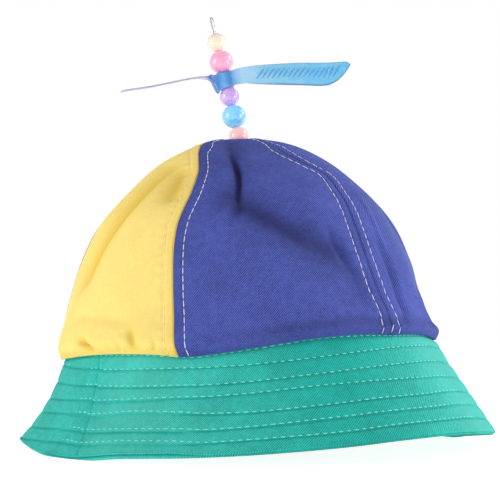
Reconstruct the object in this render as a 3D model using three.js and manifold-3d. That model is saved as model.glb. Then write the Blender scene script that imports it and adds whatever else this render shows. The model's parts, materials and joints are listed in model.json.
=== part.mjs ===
// A soft cotton sun hat with a spinning propeller on its crown.
// Millimetres, +Z up. The brim rests on z = 0 and the origin is under the middle of the brim.
// A bearing is degrees about +Z: 0 faces -Y, 90 faces +X, 180 faces +Y.

import * as THREE from "three";
import { mergeVertices } from "three/addons/utils/BufferGeometryUtils.js";
import Module from "manifold-3d";

// Cloth and gaps
const gap = 0.3;
const crownWall = 1.6;
const brimWall = 2.4;

// The crown stands a little left of the brim's middle and its tip is pulled left and back
const crownCentre = -4.6;
const tipLeft = -8.4;
const tipBack = 3;
const tipHole = 2.2;
const tipDimple = 3.2;
const tipDimpleSpread = 10;
const panelPuff = 1.4;
const sewnFirmness = 0.03;

// The crown's outer line, from its sewn edge up to the tip
const crownLine = [
  { height: 0, radius: 92.4 },
  { height: 4, radius: 94.2 },
  { height: 9, radius: 92.6 },
  { height: 17, radius: 89.2 },
  { height: 29, radius: 85.6 },
  { height: 41, radius: 81.4 },
  { height: 53, radius: 76.2 },
  { height: 65, radius: 69 },
  { height: 77, radius: 58.2 },
  { height: 89, radius: 44.4 },
  { height: 97, radius: 30.5 },
  { height: 103, radius: 15 },
  { height: 104.5, radius: 0 },
];

// Seams between the panels: their bearings at these heights, from the sewn edge to the tip
const seamLevels = [0, 30, 55, 72, 82, 88, 93, 98, 104.5];
const crownSeams = [
  [-86, -84.4, -83.4, -83, -83.6, -85.5, -90, -100, -128],
  [-19.3, -22.4, -24.2, -22.5, -23.6, -27.2, -33.6, -46, -80],
  [44.2, 41.4, 42, 44.8, 48.6, 33.5, 29.5, 30.5, 24],
  [101, 100.4, 100, 99.6, 99, 97, 94, 90, 82],
  [160, 159.4, 159, 159, 159, 158.6, 158, 156, 150],
  [219, 219, 219, 219, 219, 218, 216, 210, 200],
];

// The panels, each from the seam of its own row to the next one
const crownPanels = [
  { name: "crown_yellow_left", colour: 0xf8dc77 },
  { name: "crown_blue_front", colour: 0x4c5aa5 },
  { name: "crown_blue_right", colour: 0x4c5aa5 },
  { name: "crown_yellow_back", colour: 0xf8dc77 },
  { name: "crown_red_back", colour: 0xc8414b },
  { name: "crown_red_left", colour: 0xc8414b },
];

// Dents (depth below zero) and ridges of the crown, as lines from one bearing and height to another
const crownFolds = [
  { bearing: -9, height: 95, toBearing: -2.4, toHeight: 70, depth: -3.2, width: 3.4 },
  { bearing: -5, height: 65, toBearing: 22, toHeight: 40, depth: -3.4, width: 9.5 },
  { bearing: 28, height: 39, toBearing: 35, toHeight: 21, depth: -1.8, width: 6 },
  { bearing: -10, height: 6, toBearing: 88, toHeight: 6, depth: -1.5, width: 3 },
  { bearing: -47, height: 86, toBearing: -64, toHeight: 38, depth: -2.2, width: 8 },
  { bearing: -32.5, height: 82, toBearing: -31.5, toHeight: 71, depth: -1.8, width: 6 },
  { bearing: -55, height: 6.5, toBearing: -48.5, toHeight: 0.5, depth: -2.4, width: 3 },
  { bearing: -34, height: 10, toBearing: -32, toHeight: 1, depth: -1.4, width: 3.2 },
  { bearing: 58, height: 66, toBearing: 64.5, toHeight: 26, depth: 1.2, width: 4.5 },
  { bearing: 75, height: 60, toBearing: 84, toHeight: 22, depth: -2.2, width: 9 },
  { bearing: -88, height: 62, toBearing: -88, toHeight: 24, depth: 1.2, width: 14 },
  { bearing: -92, height: 92, toBearing: -91, toHeight: 72, depth: -2.2, width: 16 },
  { bearing: 83, height: 25, toBearing: 83, toHeight: 15, depth: -2.8, width: 8 },
  { bearing: 92, height: 66, toBearing: 92, toHeight: 58, depth: 1, width: 8 },
  { bearing: 60, height: 97, toBearing: 64, toHeight: 88, depth: 0.8, width: 12 },
  { bearing: 128, height: 76, toBearing: 138, toHeight: 44, depth: -2.4, width: 9 },
  { bearing: 186, height: 84, toBearing: 178, toHeight: 52, depth: -2.6, width: 8 },
  { bearing: 204, height: 40, toBearing: 196, toHeight: 14, depth: -1.8, width: 9 },
  { bearing: 252, height: 72, toBearing: 244, toHeight: 30, depth: -2.4, width: 10 },
];

// The brim by bearing: where the crown is sewn on, and where its edge runs
const seamRadius = 90.4;
const brimTuck = 4;
const rimRadius = 116.6;
const brimSections = [
  { bearing: -75, seam: 43.3, rim: 3.9, sag: 3 },
  { bearing: -48, seam: 46, rim: -0.3, sag: 3 },
  { bearing: -31, seam: 46.4, rim: 2.5, sag: 2.8 },
  { bearing: -15, seam: 45.7, rim: 4, sag: 2.6 },
  { bearing: -4, seam: 48, rim: 5.2, sag: 2.4 },
  { bearing: 8, seam: 51.1, rim: 6.8, sag: 2.2 },
  { bearing: 20, seam: 53.8, rim: 8.5, sag: 1.8 },
  { bearing: 32, seam: 55.1, rim: 10.3, sag: 1.3 },
  { bearing: 47, seam: 55.2, rim: 11.2, sag: 0.8 },
  { bearing: 62, seam: 55, rim: 10.2, sag: 0.2 },
  { bearing: 75, seam: 53.2, rim: 8.2, sag: -0.3 },
  { bearing: 105, seam: 51.6, rim: 3.2, sag: 0.3 },
  { bearing: 122, seam: 51.2, rim: -0.3, sag: 2 },
  { bearing: 150, seam: 49.6, rim: -0.5, sag: 2.6 },
  { bearing: 180, seam: 48, rim: -0.5, sag: 2.8 },
  { bearing: 210, seam: 46.4, rim: -0.5, sag: 3 },
  { bearing: 238, seam: 44.6, rim: -0.3, sag: 3 },
  { bearing: 262, seam: 43.4, rim: 2.7, sag: 3 },
];
const seamMiddle = 48.3;

// The stem leans left and back. Beads and hub are counted up from the crown's tip
const stemLeft = 0.22;
const stemBack = 0.139;
const wireRadius = 0.45;
const wireHalfWidth = 0.56;
const boreRadius = 1.6;
const flapBore = 1.35;
const smallBead = 9.8;
const largeBead = 11.9;
const beadSides = 14;
const beadSteps = 8;
const hubSpace = 8;
const eyeLength = 9;
const eyeHalfWidth = 0.75;
const footReach = 6;
const footDrop = 4.4;
const stemRows = [
  { name: "bead_coral", size: smallBead, colour: 0xfac7ca },
  { name: "bead_blue", size: largeBead, colour: 0x94d3f8 },
  { name: "bead_purple", size: smallBead, colour: 0xd7b9f5 },
  { name: "propeller", size: 0, colour: 0x7ac6f0 },
  { name: "bead_pink", size: largeBead, colour: 0xfabcda },
  { name: "bead_cream", size: smallBead, colour: 0xf9f0dd },
];

// The propeller's strip in its own frame: +Z along the stem, +X along the right blade.
// Pitch is the strip's turn from upright, upper and lower are its edges' distances from its line
const stripThickness = 0.8;
const flapWidth = 8;
const flapDepth = 7.4;
const hubWallBack = 3.4;
const stripSections = [
  { along: -53.4, depth: -2.4, rise: 5.5, pitch: 107.5, upper: 2.2, lower: 4.6 },
  { along: -52, depth: -2.2, rise: 5.55, pitch: 107.5, upper: 4.4, lower: 5.6 },
  { along: -49, depth: -2, rise: 5.5, pitch: 107.5, upper: 5.7, lower: 6 },
  { along: -37, depth: -1.8, rise: 4.8, pitch: 108, upper: 6.2, lower: 6.2 },
  { along: -24, depth: -1.8, rise: 4.6, pitch: 108.8, upper: 6, lower: 6 },
  { along: -16, depth: -2, rise: 4.3, pitch: 107.5, upper: 5, lower: 5 },
  { along: -11.5, depth: -2.4, rise: 3.4, pitch: 102, upper: 4.2, lower: 4.2 },
  { along: -8, depth: -3, rise: 1.9, pitch: 82, upper: 3.2, lower: 3 },
  { along: -5.6, depth: -3.4, rise: 0, pitch: 4, upper: 3.2, lower: 7 },
  { along: -3, depth: -3.4, rise: 0, pitch: 0, upper: 3.4, lower: 5.2 },
  { along: 0, depth: -3.4, rise: 0, pitch: 0, upper: 3.4, lower: 4.8 },
  { along: 4, depth: -3.4, rise: 0, pitch: -2, upper: 3.6, lower: 4.4 },
  { along: 9, depth: -3.2, rise: -0.2, pitch: -14, upper: 4.6, lower: 5 },
  { along: 18, depth: -2.8, rise: -1.9, pitch: -22, upper: 6.5, lower: 6.5 },
  { along: 37, depth: -2, rise: -5.4, pitch: -22, upper: 7.3, lower: 7.9 },
  { along: 49, depth: -1.6, rise: -7.7, pitch: -20, upper: 6.8, lower: 8.2 },
  { along: 55, depth: -1.4, rise: -8.8, pitch: -20, upper: 6.7, lower: 5.9 },
  { along: 59.5, depth: -1.2, rise: -9, pitch: -20, upper: 6.2, lower: 2.4 },
  { along: 62.4, depth: -1, rise: -8.9, pitch: -20, upper: 5.4, lower: -0.8 },
  { along: 63.8, depth: -1, rise: -8.8, pitch: -20, upper: 4, lower: -2.4 },
];

const { Manifold, Mesh: SolidMesh } = await loadSolids();

const brimColumns = 72;
const brimRows = 6;
const panelColumns = 12;
const panelRows = 16;

const mod = (value, size) => ((value % size) + size) % size;
const turn = THREE.MathUtils.degToRad;
const outward = (bearing) => new THREE.Vector3(Math.sin(turn(bearing)), -Math.cos(turn(bearing)), 0);

const crownPoints = crownLine.map((row) => new THREE.Vector2(row.radius, row.height));
const crownCurve = new THREE.SplineCurve(crownPoints);
crownCurve.arcLengthDivisions = 600;

const seamHeight = aroundTheBrim("seam");
const rimHeight = aroundTheBrim("rim");
const brimSag = aroundTheBrim("sag");
const foldLines = crownFolds.map(foldLine);

async function loadSolids() {
  const solids = await Module();
  solids.setup();
  return solids;
}

// A smooth closed curve through one column of the brim's table
function aroundTheBrim(column) {
  const rows = brimSections;
  const count = rows.length;
  const at = (i) => rows[mod(i, count)].bearing + 360 * Math.floor(i / count);
  const value = (i) => rows[mod(i, count)][column];
  const slope = (i) => (value(i + 1) - value(i - 1)) / (at(i + 1) - at(i - 1));
  return (bearing) => {
    const b = mod(bearing - rows[0].bearing, 360) + rows[0].bearing;
    let i = 0;
    while (i + 1 < count && at(i + 1) <= b) i += 1;
    const width = at(i + 1) - at(i);
    const t = (b - at(i)) / width;
    const rest = 1 - t;
    return (
      value(i) * (1 + 2 * t) * rest * rest +
      value(i + 1) * (1 + 2 * rest) * t * t +
      (slope(i) * rest - slope(i + 1) * t) * width * t * rest
    );
  };
}

// How far along the crown's line a height is, from 0 at the sewn edge to 1 at the tip
function alongAtHeight(height) {
  let low = 0;
  let high = 1;
  for (let step = 0; step < 30; step += 1) {
    const middle = (low + high) / 2;
    if (crownCurve.getPointAt(middle).y < height) low = middle;
    else high = middle;
  }
  return low;
}

// The crown without its dents, and the way that its cloth faces
function crownBase(bearing, along) {
  const line = crownCurve.getPointAt(along);
  const rise = crownCurve.getTangentAt(along);
  const level = THREE.MathUtils.smoothstep(along, 0, 0.7);
  const foot = THREE.MathUtils.lerp(seamHeight(bearing), seamMiddle, level);
  const point = outward(bearing).multiplyScalar(line.x);
  point.x += THREE.MathUtils.lerp(crownCentre, tipLeft, along);
  point.y += tipBack * along;
  point.z = foot + line.y;
  const facing = outward(bearing).multiplyScalar(rise.y);
  facing.z = -rise.x;
  return { point, facing: facing.normalize(), radius: line.x };
}

function foldLine(row) {
  const steps = 6;
  const start = alongAtHeight(row.height);
  const end = alongAtHeight(row.toHeight);
  const points = [];
  for (let i = 0; i <= steps; i += 1) {
    const t = i / steps;
    const bearing = THREE.MathUtils.lerp(row.bearing, row.toBearing, t);
    points.push(crownBase(bearing, THREE.MathUtils.lerp(start, end, t)).point);
  }
  return { points, depth: row.depth, width: row.width };
}

function foldDepth(point, along) {
  const segment = new THREE.Line3();
  const nearest = new THREE.Vector3();
  let depth = 0;
  for (const fold of foldLines) {
    let distance = Infinity;
    for (let i = 0; i + 1 < fold.points.length; i += 1) {
      segment.set(fold.points[i], fold.points[i + 1]).closestPointToPoint(point, true, nearest);
      distance = Math.min(distance, nearest.distanceTo(point));
    }
    depth += fold.depth * Math.exp(-((distance / fold.width) ** 2));
  }
  return depth * THREE.MathUtils.smoothstep(along, 0, sewnFirmness);
}

// A seam's bearing, on a smooth curve through its own row of the table
function seamBearing(bearings, along) {
  const height = crownCurve.getPointAt(along).y;
  const last = seamLevels.length - 1;
  let i = 0;
  while (i + 1 < last && seamLevels[i + 1] <= height) i += 1;
  const slope = (k) => {
    const before = Math.max(k - 1, 0);
    const after = Math.min(k + 1, last);
    return (bearings[after] - bearings[before]) / (seamLevels[after] - seamLevels[before]);
  };
  const span = seamLevels[i + 1] - seamLevels[i];
  const t = (height - seamLevels[i]) / span;
  const rest = 1 - t;
  return (
    bearings[i] * (1 + 2 * t) * rest * rest +
    bearings[i + 1] * (1 + 2 * rest) * t * t +
    (slope(i) * rest - slope(i + 1) * t) * span * t * rest
  );
}

// One panel's cloth: a point of its outer face, or of its inner face a wall's thickness in
function panelPoint(index, across, along, inset) {
  const from = crownSeams[index];
  const to = crownSeams[(index + 1) % crownSeams.length];
  const first = seamBearing(from, along);
  const width = mod(seamBearing(to, along) - first, 360);
  const middle = crownBase(first + width / 2, along);
  const edge = THREE.MathUtils.radToDeg(gap / 2 / Math.max(middle.radius, tipHole));
  const base = crownBase(first + edge + (width - 2 * edge) * across, along);
  const fullness = Math.sin(Math.PI * Math.min(1, along * 1.05 + 0.08)) ** 0.6;
  const puff = panelPuff * fullness * Math.sin(Math.PI * across);
  const dimple = tipDimple * Math.exp(-((base.radius / tipDimpleSpread) ** 2));
  const out = puff - dimple + foldDepth(base.point, along);
  return base.point.addScaledVector(base.facing, out - inset);
}

// A closed wall of cloth from two grids of points, its outer and its inner face.
// A ring joins its last column to its first
function clothWall(columns, rows, ring, pointAt) {
  const lines = ring ? columns : columns + 1;
  const positions = [];
  const index = [];
  const at = (side, i, j) => (side * lines + (i % lines)) * (rows + 1) + j;
  const quad = (a, b, c, d) => index.push(a, b, c, a, c, d);
  for (let side = 0; side < 2; side += 1) {
    for (let i = 0; i < lines; i += 1) {
      for (let j = 0; j <= rows; j += 1) positions.push(...pointAt(i / columns, j / rows, side));
    }
  }
  for (let i = 0; i < columns; i += 1) {
    for (let j = 0; j < rows; j += 1) {
      quad(at(0, i, j), at(0, i + 1, j), at(0, i + 1, j + 1), at(0, i, j + 1));
      quad(at(1, i, j), at(1, i, j + 1), at(1, i + 1, j + 1), at(1, i + 1, j));
    }
    quad(at(1, i, 0), at(1, i + 1, 0), at(0, i + 1, 0), at(0, i, 0));
    quad(at(0, i, rows), at(0, i + 1, rows), at(1, i + 1, rows), at(1, i, rows));
  }
  for (let j = 0; j < rows && !ring; j += 1) {
    quad(at(1, 0, j), at(0, 0, j), at(0, 0, j + 1), at(1, 0, j + 1));
    quad(at(0, columns, j), at(1, columns, j), at(1, columns, j + 1), at(0, columns, j + 1));
  }
  const geometry = new THREE.BufferGeometry();
  geometry.setAttribute("position", new THREE.Float32BufferAttribute(positions, 3));
  geometry.setIndex(index);
  return geometry;
}

function panelGeometry(index) {
  const tipAlong = alongAtHoleRadius();
  return clothWall(panelColumns, panelRows, false, (across, up, side) => {
    const along = tipAlong * (0.85 * up + 0.15 * Math.sin((up * Math.PI) / 2));
    return panelPoint(index, across, along, side * crownWall).toArray();
  });
}

function alongAtHoleRadius() {
  let along = 1;
  while (crownCurve.getPointAt(along).x < tipHole) along -= 0.001;
  return along;
}

// The brim stands inside the crown's sewn edge, slopes out to the rim, and lies flat where it rests
function brimGeometry() {
  const knee = (brimRows - 1) / brimRows;
  return clothWall(brimColumns, brimRows, true, (round, up, side) => {
    const bearing = 360 * round;
    const way = outward(bearing);
    const seam = way.clone().multiplyScalar(seamRadius);
    seam.x += crownCentre;
    seam.z = seamHeight(bearing) - gap;
    const rim = way.clone().multiplyScalar(rimRadius);
    rim.z = rimHeight(bearing);
    const slope = rim.clone().sub(seam);
    const facing = way.clone().multiplyScalar(-slope.z).setZ(slope.dot(way)).normalize();
    const climb = Math.min(up / knee, 1);
    const point = rim.addScaledVector(slope, -climb);
    if (up >= knee) facing.lerp(way, up > knee ? 1 : 0.5).normalize();
    if (up > knee) point.z += brimTuck;
    point.addScaledVector(facing, -4 * brimSag(bearing) * climb * (1 - climb) - side * brimWall);
    point.z = Math.max(point.z, 0);
    return point.toArray();
  });
}

// A drilled bead, its hole along +Z
function beadGeometry(size) {
  const radius = size / 2;
  const start = Math.asin(boreRadius / radius);
  const profile = [];
  for (let i = 0; i <= beadSteps; i += 1) {
    const angle = start + ((Math.PI - 2 * start) * i) / beadSteps;
    profile.push(new THREE.Vector2(radius * Math.sin(angle), -radius * Math.cos(angle)));
  }
  profile.push(profile[0].clone());
  return new THREE.LatheGeometry(profile, beadSides).rotateX(Math.PI / 2);
}

const beadHalf = (size) => Math.sqrt((size / 2) ** 2 - boreRadius ** 2);

// One wire bent double: an eye at the top, two legs down the stem, and a foot spread under the crown
function wireGeometry(top) {
  const side = [
    [footReach, -footDrop],
    [footReach * 0.55, -footDrop],
    [2, -footDrop + 0.3],
    [wireHalfWidth + 0.2, -footDrop + 1.6],
    [wireHalfWidth, -footDrop + 3.6],
    [wireHalfWidth, top * 0.25],
    [wireHalfWidth, top * 0.5],
    [wireHalfWidth, top * 0.75],
    [wireHalfWidth, top],
    [eyeHalfWidth * 0.85, top + eyeLength * 0.3],
    [eyeHalfWidth, top + eyeLength * 0.6],
    [eyeHalfWidth * 0.7, top + eyeLength * 0.88],
  ];
  const points = side.map(([x, z]) => new THREE.Vector3(x, 0, z));
  points.push(new THREE.Vector3(0, 0, top + eyeLength));
  for (const [x, z] of side.toReversed()) points.push(new THREE.Vector3(-x, 0, z));
  const path = new THREE.CatmullRomCurve3(points, false, "catmullrom", 0.5);
  const section = new THREE.Shape().absarc(0, 0, wireRadius, 0, 2 * Math.PI);
  return new THREE.ExtrudeGeometry(section, { extrudePath: path, steps: 52, curveSegments: 4 });
}

function stripGeometry() {
  const positions = [];
  const index = [];
  const last = stripSections.length - 1;
  for (const row of stripSections) {
    const up = new THREE.Vector3(0, -Math.sin(turn(row.pitch)), Math.cos(turn(row.pitch)));
    const front = new THREE.Vector3(0, -up.z, up.y);
    const line = new THREE.Vector3(row.along, row.depth, row.rise);
    const half = stripThickness / 2;
    const top = line.clone().addScaledVector(up, row.upper);
    const foot = line.clone().addScaledVector(up, -row.lower);
    for (const [edge, face] of [[top, half], [top, -half], [foot, -half], [foot, half]]) {
      positions.push(...edge.clone().addScaledVector(front, face));
    }
  }
  for (let i = 0; i < last; i += 1) {
    for (let k = 0; k < 4; k += 1) {
      const a = 4 * i + k;
      const b = 4 * i + ((k + 1) % 4);
      index.push(a, a + 4, b + 4, a, b + 4, b);
    }
  }
  index.push(0, 1, 2, 0, 2, 3);
  const end = 4 * last;
  index.push(end, end + 2, end + 1, end, end + 3, end + 2);
  const geometry = new THREE.BufferGeometry();
  geometry.setAttribute("position", new THREE.Float32BufferAttribute(positions, 3));
  geometry.setIndex(index);
  return geometry;
}

// A flap that the strip folds over at the hub, drilled for the stem
function flapGeometry(height) {
  const outline = new THREE.Shape();
  const front = -hubWallBack;
  const back = front + flapDepth;
  outline.moveTo(-flapWidth / 2, front);
  outline.lineTo(flapWidth / 2, front);
  outline.lineTo(flapWidth / 2 - 0.6, back - 1.4);
  outline.quadraticCurveTo(flapWidth / 2 - 0.8, back, flapWidth / 2 - 2.2, back);
  outline.lineTo(-flapWidth / 2 + 2.2, back);
  outline.quadraticCurveTo(-flapWidth / 2 + 0.8, back, -flapWidth / 2 + 0.6, back - 1.4);
  outline.closePath();
  outline.holes.push(new THREE.Path().absarc(0, 0, flapBore, 0, 2 * Math.PI, true));
  const options = { depth: stripThickness, bevelEnabled: false, curveSegments: 7 };
  return new THREE.ExtrudeGeometry(outline, options).translate(0, 0, height);
}

function propellerGeometry() {
  const half = hubSpace / 2;
  const flaps = [flapGeometry(half - stripThickness), flapGeometry(-half)];
  const joined = flaps.map(toSolid).reduce((whole, flap) => whole.add(flap), toSolid(stripGeometry()));
  return fromSolid(joined);
}

function toSolid(geometry) {
  const bare = new THREE.BufferGeometry();
  bare.setAttribute("position", geometry.getAttribute("position"));
  bare.setIndex(geometry.getIndex());
  const merged = mergeVertices(bare, 1e-4);
  const vertProperties = new Float32Array(merged.getAttribute("position").array);
  const triVerts = new Uint32Array(merged.getIndex().array);
  return new Manifold(new SolidMesh({ numProp: 3, vertProperties, triVerts }));
}

function fromSolid(solid) {
  const mesh = solid.getMesh();
  const geometry = new THREE.BufferGeometry();
  geometry.setAttribute("position", new THREE.Float32BufferAttribute(mesh.vertProperties, 3));
  geometry.setIndex(new THREE.Uint32BufferAttribute(mesh.triVerts, 1));
  return geometry;
}

function named(name, colour, geometry) {
  geometry.computeVertexNormals();
  const material = new THREE.MeshStandardMaterial({ color: colour, roughness: 0.8 });
  const mesh = new THREE.Mesh(geometry, material);
  mesh.name = name;
  return mesh;
}

// The stem's own group stands on the crown's tip and leans with the wire
function stemGroup() {
  const group = new THREE.Group();
  const lean = new THREE.Vector3(-stemLeft, stemBack, Math.sqrt(1 - stemLeft ** 2 - stemBack ** 2));
  group.position.set(tipLeft, tipBack, seamMiddle + crownLine.at(-1).height - tipDimple);
  group.quaternion.setFromUnitVectors(new THREE.Vector3(0, 0, 1), lean);
  let level = gap;
  for (const row of stemRows) {
    const half = row.size ? beadHalf(row.size) : hubSpace / 2;
    const geometry = row.size ? beadGeometry(row.size) : propellerGeometry();
    const mesh = named(row.name, row.colour, geometry);
    mesh.position.z = level + half;
    level += 2 * half + gap;
    group.add(mesh);
  }
  group.add(named("stem_wire", 0xb8bcc2, wireGeometry(level)));
  return group;
}

const hat = new THREE.Group();
hat.name = "propeller_sun_hat";
crownPanels.forEach((panel, index) => {
  hat.add(named(panel.name, panel.colour, panelGeometry(index)));
});
hat.add(named("brim", 0x42bcaf, brimGeometry()));
hat.add(stemGroup());

export default hat;
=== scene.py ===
import json
import math

import bpy
import numpy as np
from mathutils import Matrix, Vector, noise


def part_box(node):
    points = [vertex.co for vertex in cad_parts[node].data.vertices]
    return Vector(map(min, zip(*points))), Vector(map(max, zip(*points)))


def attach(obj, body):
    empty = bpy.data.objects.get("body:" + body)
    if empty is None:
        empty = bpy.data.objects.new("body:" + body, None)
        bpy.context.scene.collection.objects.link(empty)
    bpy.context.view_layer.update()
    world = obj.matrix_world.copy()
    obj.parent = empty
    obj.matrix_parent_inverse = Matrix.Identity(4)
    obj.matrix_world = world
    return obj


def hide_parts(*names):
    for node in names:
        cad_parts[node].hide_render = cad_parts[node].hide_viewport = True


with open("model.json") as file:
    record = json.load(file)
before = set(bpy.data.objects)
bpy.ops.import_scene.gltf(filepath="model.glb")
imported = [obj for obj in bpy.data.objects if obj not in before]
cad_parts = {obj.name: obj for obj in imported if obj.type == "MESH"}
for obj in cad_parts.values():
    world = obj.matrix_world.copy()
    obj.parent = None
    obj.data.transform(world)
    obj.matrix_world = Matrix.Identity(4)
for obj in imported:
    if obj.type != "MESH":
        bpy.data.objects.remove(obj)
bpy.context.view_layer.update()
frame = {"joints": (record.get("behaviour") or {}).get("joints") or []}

mm = 0.001  # the tables below are in millimetres and the meshes in metres


# small helpers for shapes

def smooth(value, low, high):
    t = np.clip((value - low) / (high - low), 0, 1)
    return t * t * (3 - 2 * t)


def bell(distance, width):
    return np.exp(-((distance / width) ** 2))


def dent(distance, size):  # size is its depth and width
    return size[0] * bell(distance, size[1])


def rounded(t, least=0.0):  # a quarter circle, from 0 at 0 to 1 at 1
    return np.sqrt(np.clip(1 - np.clip(1 - t, 0, 1) ** 2, least, 1))


def between(bearing, first, last, ease):  # 1 between two bearings, easing to 0 at both
    turn = (bearing - first + 90) % 360 - 90
    return smooth(turn, 0, ease) * (1 - smooth(turn, last - first - ease, last - first))


def unit(vectors):
    return vectors / np.linalg.norm(vectors, axis=-1, keepdims=True)


def travel(points):  # how far along a line each of its points lies
    return np.concatenate([[0], np.cumsum(np.linalg.norm(np.diff(points, axis=0), axis=1))])


def outward(bearing):  # bearing 0 faces the camera, 90 the photo's right
    angle = np.radians(bearing)
    return np.stack([np.sin(angle), -np.cos(angle), np.zeros_like(angle)], axis=-1)


def through(knots, values, at, period=0):  # a smooth curve through one column of a table
    knots, values, at = [np.asarray(column, float) for column in (knots, values, at)]
    if period:
        at = (at - knots[0]) % period + knots[0]
        knots = np.concatenate([knots - period, knots, knots + period])
        values = np.tile(values, 3)
    slopes = np.empty_like(values)
    slopes[1:-1] = (values[2:] - values[:-2]) / (knots[2:] - knots[:-2])
    slopes[0] = (values[1] - values[0]) / (knots[1] - knots[0])
    slopes[-1] = (values[-1] - values[-2]) / (knots[-1] - knots[-2])
    i = np.clip(np.searchsorted(knots, at, side="right") - 1, 0, len(knots) - 2)
    width = knots[i + 1] - knots[i]
    t = (at - knots[i]) / width
    rest = 1 - t
    ends = values[i] * (1 + 2 * t) * rest ** 2 + values[i + 1] * (1 + 2 * rest) * t ** 2
    return ends + (slopes[i] * rest - slopes[i + 1] * t) * width * t * rest


def ripple(points, size, seed):  # smooth noise from -1 to 1 over an array of points
    flat = points.reshape(-1, 3) / size + seed * 17.3
    return np.array([noise.noise(Vector(p)) for p in flat]).reshape(points.shape[:-1])


# meshes

def show(name, data):
    made = bpy.data.objects.new(name, data)
    bpy.context.scene.collection.objects.link(made)
    return made


def loft(name, grid, u=None, v=None, ring=False, caps=None, marks=None):
    # grid is columns x rows x 3; each column closes on itself, and caps makes the faces of an open end
    columns, rows = grid.shape[:2]
    count = columns * rows
    at = np.arange(count + rows).reshape(-1, rows)  # a ring's first column comes again at its end
    i = np.arange(columns if ring else columns - 1)
    first, second = at[i], at[i + 1]
    quads = np.stack([first, second, np.roll(second, -1, 1), np.roll(first, -1, 1)], axis=-1).reshape(-1, 4)
    faces = quads.tolist()
    for end in (0, columns - 1) if caps else ():
        faces += [loop if end else loop[::-1] for loop in caps(at[end].tolist())]
    points = grid.reshape(-1, 3) * mm
    a, b, c, d = points[quads % count].transpose(1, 0, 2)
    if np.sum(a * (np.cross(b, c) + np.cross(c, d))) < 0:  # turned inside out
        faces = [face[::-1] for face in faces]
    mesh = bpy.data.meshes.new(name)
    mesh.from_pydata(points.tolist(), [], [[k % count for k in face] for face in faces])
    if u is not None:  # cloth coordinates in millimetres
        pairs = np.stack([u.ravel(), v.ravel()], axis=-1)[np.concatenate(faces)]
        mesh.uv_layers.new(name="cloth").data.foreach_set("uv", pairs.astype(np.float32).ravel())
    for label, values in (marks or {}).items():
        layer = mesh.attributes.new(label, "FLOAT", "POINT")
        layer.data.foreach_set("value", values.astype(np.float32).ravel())
    mesh.shade_smooth()
    return show(name, mesh)


def linesMesh(name, lines, facings, closed=False):  # polylines with the way the surface faces
    edges, start = [], 0
    for count in map(len, lines):
        edges += [(start + k, start + (k + 1) % count) for k in range(count if closed else count - 1)]
        start += count
    mesh = bpy.data.meshes.new(name)
    mesh.from_pydata((np.concatenate(lines) * mm).tolist(), edges, [])
    layer = mesh.attributes.new("facing", "FLOAT_VECTOR", "POINT")
    layer.data.foreach_set("vector", np.concatenate(facings).astype(np.float32).ravel())
    return show(name, mesh)


def settle(piece):  # the modifiers' result becomes the piece's own plain mesh
    evaluated = piece.evaluated_get(bpy.context.evaluated_depsgraph_get())
    made = bpy.data.meshes.new_from_object(evaluated)
    piece.modifiers.clear()
    piece.data = made
    made.name = piece.name
    return piece


def dress(piece, material, body, node=None):
    if material is not None:
        piece.data.materials.clear()
        piece.data.materials.append(material)
    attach(piece, body)
    if node:
        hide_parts(node)
    return piece


# nodes: a socket that Python can reckon with

def operator(operation, swapped=False):
    def reckon(self, other):
        return self.maths(operation, *((other, self) if swapped else (self, other)))
    return reckon


class Sock:
    def __init__(self, tree, socket=None):
        self.tree = tree
        self.socket = socket

    def node(self, kind, settings=None, inputs=None, output=0):  # settings first, then values or links
        made = self.tree.nodes.new(kind)
        for key, value in (settings or {}).items():
            setattr(made, key, value)
        for key, value in (inputs or {}).items():
            if isinstance(value, Sock):
                self.tree.links.new(value.socket, made.inputs[key])
            else:
                made.inputs[key].default_value = value
        return Sock(self.tree, made.outputs[output])

    def out(self, name):  # another output of the same node
        return Sock(self.tree, self.socket.node.outputs[name])

    def maths(self, operation, *values):
        return self.node("ShaderNodeMath", {"operation": operation}, dict(enumerate(values)))

    __add__ = __radd__ = operator("ADD")
    __sub__, __rsub__ = operator("SUBTRACT"), operator("SUBTRACT", True)
    __mul__, __truediv__ = operator("MULTIPLY"), operator("DIVIDE")

    def vector(self, operation, inputs):
        return self.node("ShaderNodeVectorMath", {"operation": operation}, {0: self, **inputs})

    def wave(self, length):  # 0 to 1 and back as the value grows by one length
        return self.maths("SINE", self * (2 * math.pi / length)) * 0.5 + 0.5

    def clamp(self):
        return self.node("ShaderNodeClamp", {}, {"Value": self})

    def spread(self, low, high):  # 0 to 1 as the value goes from low to high
        return ((self - low) / (high - low)).clamp()

    def mix(self, first, second, blend="MIX"):  # this value blends two colours
        settings = {"data_type": "RGBA", "clamp_factor": True, "blend_type": blend}
        return self.node("ShaderNodeMix", settings, {0: self, 6: first, 7: second}, 2)

    def noiseAt(self, scale, detail=2.0, roughness=0.5):  # this vector reads a noise
        inputs = {"Vector": self, "Scale": scale, "Detail": detail, "Roughness": roughness}
        return self.node("ShaderNodeTexNoise", {}, inputs)

    def mark(self, name):  # a value painted on the mesh
        return self.node("ShaderNodeAttribute", {"attribute_name": name}).out("Fac")

    def here(self):  # the place on the piece, in metres
        return self.node("ShaderNodeTexCoord").out("Object")


def newSurface(name, constants):  # a Principled surface whose fixed values sit on its own sockets
    material = bpy.data.materials.new(name)
    material.use_nodes = True
    tree = material.node_tree
    shader = tree.nodes["Principled BSDF"]
    for key, value in constants.items():
        shader.inputs[key].default_value = value
    return material, Sock(tree), shader


def join(sock, shader, name):
    sock.tree.links.new(sock.socket, shader.inputs[name])


def rgba(colour, factor=1.0):
    return tuple(min(1.0, c * factor) for c in colour) + (1.0,)


# cotton twill

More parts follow.
